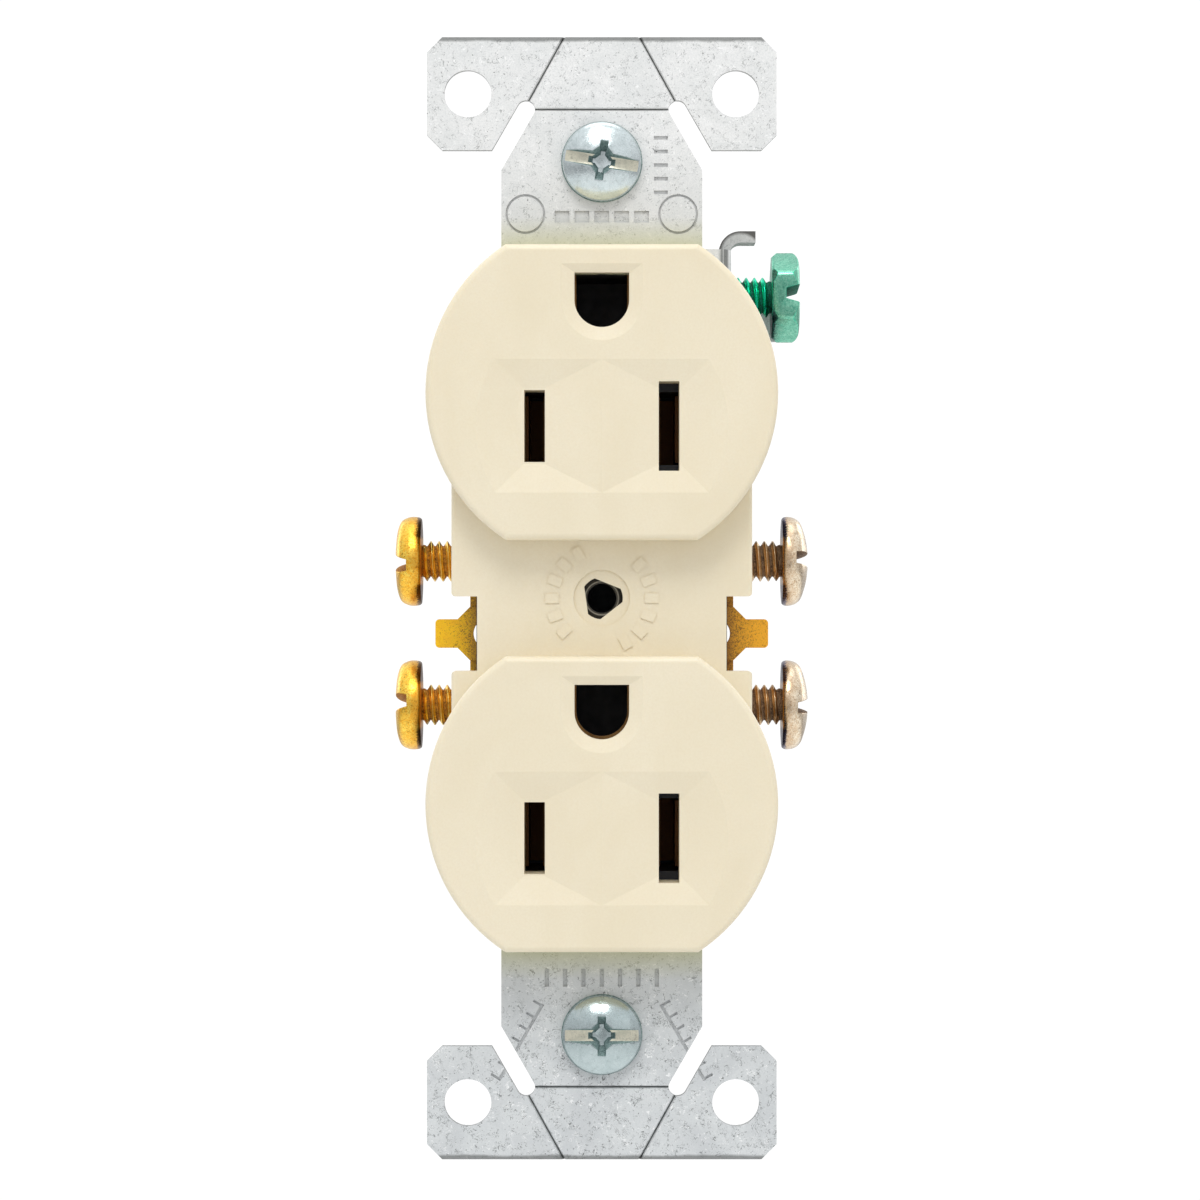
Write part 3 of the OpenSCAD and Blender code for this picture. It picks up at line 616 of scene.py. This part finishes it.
def block(x, y, z):
    """Box mesh from the low and high values of each axis, in millimetres."""
    bm = bmesh.new()
    bmesh.ops.create_cube(bm, size=1.0)
    for v in bm.verts:
        v.co = Vector(((x[0] if v.co.x < 0 else x[1]) * MM, (y[0] if v.co.y < 0 else y[1]) * MM,
                       (z[0] if v.co.z < 0 else z[1]) * MM))
    return bm


def boolean(mesh, cutter, operation="DIFFERENCE", cut_index=0):
    """mesh cut by, or kept within, cutter; faces that the cut makes get cut_index as their
    material's number, or keep the cutter's own numbers if it is None."""
    a = link_piece("work", mesh)
    b = link_piece("tool", cutter)
    for face in cutter.polygons:
        if cut_index is not None:
            face.material_index = cut_index
    for piece in (a, b):
        while len(piece.data.materials) < 3:
            piece.data.materials.append(None)
    mod = a.modifiers.new("cut", "BOOLEAN")
    mod.operation = operation
    mod.object = b
    mod.solver = "EXACT"
    mod.material_mode = "INDEX"
    graph = bpy.context.evaluated_depsgraph_get()
    made = bpy.data.meshes.new_from_object(a.evaluated_get(graph))
    bpy.data.objects.remove(a)
    bpy.data.objects.remove(b)
    return made


def rounded(mesh, width_mm, angle=30, segments=2, index=-1):
    """mesh with its sharp edges rounded."""
    work = link_piece("work", mesh)
    soften(work, width_mm, angle, segments, index)
    graph = bpy.context.evaluated_depsgraph_get()
    made = bpy.data.meshes.new_from_object(work.evaluated_get(graph))
    bpy.data.objects.remove(work)
    return made


def flowing(points, parts=4):
    """Smooth curve through the points (Catmull-Rom), parts steps to each stretch."""
    ends = [points[0]] + points + [points[-1]]
    made = []
    for a, b, c, d in zip(ends, ends[1:], ends[2:], ends[3:]):
        for i in range(parts):
            t = i / parts
            made.append(tuple(0.5 * (2 * q + (r - p) * t + (2 * p - 5 * q + 4 * r - w) * t * t
                                     + (3 * q - p - 3 * r + w) * t ** 3)
                              for p, q, r, w in zip(a, b, c, d)))
    return made + [points[-1]]


def turned(bm, degrees):
    """bm turned about Z."""
    bmesh.ops.rotate(bm, verts=bm.verts, matrix=Matrix.Rotation(math.radians(degrees), 3, "Z"))
    return bm


def slot_cutter(floor, top, narrow, wide, degrees):
    """Driver slot across a head, its half-width growing from narrow at the floor to wide at the
    top, turned by degrees from Y."""
    reach = 6       # half its length, past the rim of any head
    over = 0.5      # how far it stands above the head
    grown = narrow + (wide - narrow) * (top + over - floor) / (top - floor)
    bm = block((-narrow, narrow), (-reach, reach), (floor, top + over))
    for v in bm.verts:
        if v.co.z > top * MM:
            v.co.x *= grown / narrow
    return mesh_from(turned(bm, degrees), "cutter")


def threaded(length, crest, root):
    """Threaded shank from Z = 0 down: flanks with material number 1, grooves with 2, the painted shade.
    """
    into_head = 0.05
    mesh = mesh_from(thread(into_head, -length, crest, root), "shank")
    groove = (root + 0.3 * (crest - root)) * MM
    for face in mesh.polygons:
        face.material_index = 2 if face.center.xy.length < groove else 1
    return mesh


# ---- screws ----

def along(direction, place):
    """Matrix that puts a screw drawn along +Z at place, its head towards direction and its local
    Y towards the top of the outlet."""
    z = Vector(direction)
    y = Vector((0, 0, 1))
    x = y.cross(z)
    turn = Matrix((x, y, z)).transposed().to_4x4()
    return Matrix.Translation(Vector(place)) @ turn


def assemble(node, head, shank, matrix, slot):
    """One screw from its head and shank meshes, riding on its body in place of the CAD node. Faces
    numbered 0, 1 and 2 take the plating, the thread finish and the painted shade."""
    both = bmesh.new()
    both.from_mesh(finished(head))
    both.from_mesh(finished(shank, 60))
    name = node + "_threaded"
    mesh = bpy.data.meshes.new(name)
    both.to_mesh(mesh)
    both.free()
    mesh.transform(matrix)
    for group in (MATERIALS, THREAD_MATERIALS, SHADE_MATERIALS):
        mesh.materials.append(group[slot])
    piece = link_piece(name, mesh)
    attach(piece, node)
    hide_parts(node)


# half outlines of the pan heads, as (radius, height) from the middle of the top to the underside
BRASS_HEAD = flowing([(0, 2.6), (1.1, 2.58), (2.0, 2.52), (2.85, 2.41), (3.6, 2.18), (3.98, 1.92),
                      (4.18, 1.58), (4.32, 1.15), (4.34, 0.7), (4.27, 0.25), (4.12, 0.06)])
NICKEL_HEAD = flowing([(0, 2.6), (1.0, 2.56), (2.0, 2.42), (2.8, 2.21), (3.5, 1.97), (3.88, 1.72),
                       (4.15, 1.38), (4.3, 0.95), (4.34, 0.5), (4.26, 0.2), (4.12, 0.06)])
UNDERSIDE = [(3.0, 0.05), (2.2, 0.03), (0, 0.02)]


def wiring_screw(node, slot, side, outline, slot_turn, slot_shape):
    """Pan head with one slot of slot_shape: floor height, half-width there and at the top."""
    low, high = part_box(node)
    floor, narrow, wide = slot_shape
    head = mesh_from(lathe(outline + UNDERSIDE), "head")
    cutter = slot_cutter(floor, HEAD_T, narrow, wide, 90 + slot_turn)
    # the slot's walls take the painted shade
    head = rounded(boolean(head, cutter, cut_index=2), 0.06)
    outer = high.x if side > 0 else low.x
    under = outer - side * HEAD_T * MM
    shank = threaded((high.x - low.x) / MM - HEAD_T, *WIRING_THREAD)
    matrix = along((side, 0, 0), (under, (low.y + high.y) / 2, (low.z + high.z) / 2))
    assemble(node, head, shank, matrix, slot)


wiring_screw("brass_screw_top", "brass_screw", -1, BRASS_HEAD, -5.5, (1.45, 0.55, 0.8))
wiring_screw("brass_screw_bottom", "brass_screw", -1, BRASS_HEAD, 7.5, (1.4, 0.58, 0.85))
wiring_screw("silver_screw_top", "nickel_screw", 1, NICKEL_HEAD, -5.5, (1.35, 0.56, 0.7))
wiring_screw("silver_screw_bottom", "nickel_screw", 1, NICKEL_HEAD, 2.5, (1.5, 0.5, 0.68))


def ground_screw():
    """Slotted hexagon head with a round chamfer, and a thread."""
    node = "ground_screw"
    corner = 4.45 * MM
    low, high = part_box(node)
    bm = bmesh.new()
    bmesh.ops.create_cone(bm, cap_ends=True, segments=6, radius1=corner, radius2=corner,
                          depth=HEX_T * MM)
    bmesh.ops.translate(bm, verts=bm.verts, vec=(0, 0, HEX_T / 2 * MM))
    hexagon = rounded(mesh_from(bm, "hexagon"), 0.3, 30, 3)
    chamfer = ([(0, HEX_T + 0.01)] + arc(3.3, HEX_T - 1.2, 1.2, 88, 6, 9)
               + [(4.5, 0.7), (3.9, -0.01), (0, -0.01)])
    head = boolean(hexagon, mesh_from(lathe(chamfer), "limit"), "INTERSECT")
    cutter = slot_cutter(HEX_T - 1.34, HEX_T, 0.5, 0.88, 86.3)
    # the slot's walls take the painted shade
    head = rounded(boolean(head, cutter, cut_index=2), 0.07, 22, index=1)
    shank = threaded((high.x - low.x) / MM - HEX_T, *WIRING_THREAD)
    matrix = along((1, 0, 0), (high.x - HEX_T * MM, (low.y + high.y) / 2, (low.z + high.z) / 2))
    assemble(node, head, shank, matrix, "green_screw")


ground_screw()


def tapered(outline, top, bottom, shrink):
    """Closed solid from an outline in X and Y at height top to its shrunk copy at bottom."""
    bm = bmesh.new()
    upper = [bm.verts.new((x * MM, y * MM, top * MM)) for x, y in outline]
    lower = [bm.verts.new((x * shrink * MM, y * shrink * MM, bottom * MM)) for x, y in outline]
    bm.faces.new(upper)
    bm.faces.new(lower[::-1])
    for i in range(len(outline)):
        j = (i + 1) % len(outline)
        bm.faces.new((upper[i], lower[i], lower[j], upper[j]))
    return bm


def cross_outline(half_x, half_y, arm, shoulder):
    """Four arms with straight flanks between their shoulders, as a cross driver's tip has."""
    corner = [(half_x, -arm), (half_x, arm), (shoulder, arm), (arm, shoulder), (arm, half_y)]
    left = [(-x, y) for x, y in reversed(corner)]
    upper = corner[1:] + left[:-1]
    return upper + [(-x, -y) for x, y in upper]


def mounting_screw(node, slot_turn):
    """Combination head, with a slot across and a cross recess at its middle."""
    low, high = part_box(node)
    crown = 6.2         # radius of the head's domed top
    slot_floor = 1.2
    profile = ([(0, PAN_T)] + arc(0, PAN_T - crown, crown, 85, 54, 8)
               + [(3.72, 1.02), (3.76, 0.9), (3.77, 0.3), (3.87, 0.14), (3.7, 0.0), (0, 0.0)])
    head = mesh_from(lathe(profile), "head")
    for face in head.polygons:
        # painted shade: the rim next to the underside takes the shade finish, a dark outline where the
        # head meets the strap
        rim = face.center.z < 0.25 * MM
        face.material_index = 2 if rim else 0
    cutter = slot_cutter(slot_floor, PAN_T, 0.52, 0.76, 90 + slot_turn)
    # painted shade on the slot's walls; its floor takes the thread finish
    for face in cutter.polygons:
        face.material_index = 1 if face.normal.z < -0.9 else 2
    head = boolean(head, cutter, cut_index=None)
    recess = tapered(cross_outline(1.95, 2.2, 0.46, 1.45), PAN_T + 0.3, 0.3, 0.45)
    cutter = mesh_from(turned(recess, slot_turn), "cutter")
    # painted shade on the cross recess's walls; its bottom takes the plating
    for face in cutter.polygons:
        face.material_index = 0 if face.normal.z < -0.9 else 2
    head = boolean(head, cutter, cut_index=None)
    head = rounded(head, 0.05)
    shank = threaded((high.y - low.y) / MM - PAN_T, *MOUNTING_THREAD)
    turn = Matrix.Rotation(math.radians(90), 4, "X")
    matrix = Matrix.Translation(Vector((0, low.y + PAN_T * MM, (low.z + high.z) / 2))) @ turn
    assemble(node, head, shank, matrix, "zinc_steel")


mounting_screw("mounting_screw_top", -9)
mounting_screw("mounting_screw_bottom", 0)


# ---- stage, light and camera ----

FLOOR_DROP = 0.7            # from the outlet's lowest point down to the floor
EYE_DISTANCE = 0.431        # from the wall's plane to the camera
EYE_SHIFT = -0.17 * MM      # the camera is a hair left of the middle and below it
lowest, highest = CAD_BOX
middle = (lowest + highest) / 2


def floor():
    """Wide pale floor, well below the outlet, which hangs in the air as if held by its screws."""
    bm = bmesh.new()
    bmesh.ops.create_circle(bm, cap_ends=True, segments=96, radius=2.6)
    mesh = mesh_from(bm, "floor")
    mesh.transform(Matrix.Translation((0, 0, lowest.z - FLOOR_DROP)))
    paper = Maker("floor_paper", (0.93, 0.93, 0.92, 1), 0.9)
    paper.bump(paper.noise(2.0, 3), 0.05, 0.2)
    mesh.materials.append(paper.material)
    piece = link_piece("floor", mesh)


def world():
    """White to the camera, and a soft vertical gradient to every surface."""
    made = bpy.data.worlds.new("studio")
    bpy.context.scene.world = made
    made.use_nodes = True
    tree = made.node_tree
    tree.nodes.clear()
    coords = tree.nodes.new("ShaderNodeTexCoord")
    split = tree.nodes.new("ShaderNodeSeparateXYZ")
    ramp = tree.nodes.new("ShaderNodeValToRGB")
    grow = tree.nodes.new("ShaderNodeMapRange")
    path = tree.nodes.new("ShaderNodeLightPath")
    sky = tree.nodes.new("ShaderNodeBackground")
    white = tree.nodes.new("ShaderNodeBackground")
    blend = tree.nodes.new("ShaderNodeMixShader")
    out = tree.nodes.new("ShaderNodeOutputWorld")
    grow.inputs["From Min"].default_value = -1
    grow.inputs["From Max"].default_value = 1
    stops = ramp.color_ramp.elements
    stops[0].position = 0.0
    stops[0].color = (0.24, 0.25, 0.27, 1)
    stops[1].position = 1.0
    stops[1].color = (1.15, 1.16, 1.18, 1)
    for place, grey in ((0.42, 0.48), (0.58, 0.72)):
        stop = stops.new(place)
        stop.color = (grey, grey, grey * 1.02, 1)
    link = tree.links.new
    link(coords.outputs["Generated"], split.inputs["Vector"])
    link(split.outputs["Z"], grow.inputs["Value"])
    link(grow.outputs["Result"], ramp.inputs["Fac"])
    link(ramp.outputs["Color"], sky.inputs["Color"])
    sky.inputs["Strength"].default_value = 1.0
    white.inputs["Color"].default_value = (1, 1, 1, 1)
    white.inputs["Strength"].default_value = 1.05
    link(path.outputs["Is Camera Ray"], blend.inputs[0])
    link(sky.outputs[0], blend.inputs[1])
    link(white.outputs[0], blend.inputs[2])
    link(blend.outputs[0], out.inputs["Surface"])


def softbox(name, place, size, power):
    """Rectangular lamp at place, aimed at the outlet."""
    data = bpy.data.lights.new(name, "AREA")
    data.shape = "RECTANGLE"
    data.size = size[0]
    data.size_y = size[1]
    data.energy = power
    lamp = bpy.data.objects.new(name, data)
    bpy.context.scene.collection.objects.link(lamp)
    lamp.location = place
    lamp.rotation_euler = (middle - Vector(place)).to_track_quat("-Z", "Y").to_euler()


def camera():
    """Long lens straight in front, as far away as the perspective of the ears and faces asks."""
    data = bpy.data.cameras.new("camera")
    data.sensor_width = 36
    data.lens = 135
    data.clip_start = 0.01
    data.clip_end = 20
    eye = bpy.data.objects.new("camera", data)
    bpy.context.scene.collection.objects.link(eye)
    eye.location = (EYE_SHIFT, -EYE_DISTANCE, EYE_SHIFT)
    eye.rotation_euler = (math.radians(90), 0, 0)
    bpy.context.scene.camera = eye


floor()
world()
softbox("key", (-0.06, -0.66, 0.85), (0.5, 0.45), 4.2)
softbox("fill", (0.6, -0.8, 0.1), (0.6, 0.9), 0.4)
softbox("top", (0.0, 0.1, 1.0), (0.9, 0.6), 1.5)
softbox("back_left", (-0.7, 0.8, 0.35), (0.5, 0.8), 1.5)
softbox("back_right", (0.7, 0.8, 0.35), (0.5, 0.8), 1.5)
camera()
bpy.context.scene.view_settings.view_transform = "Standard"
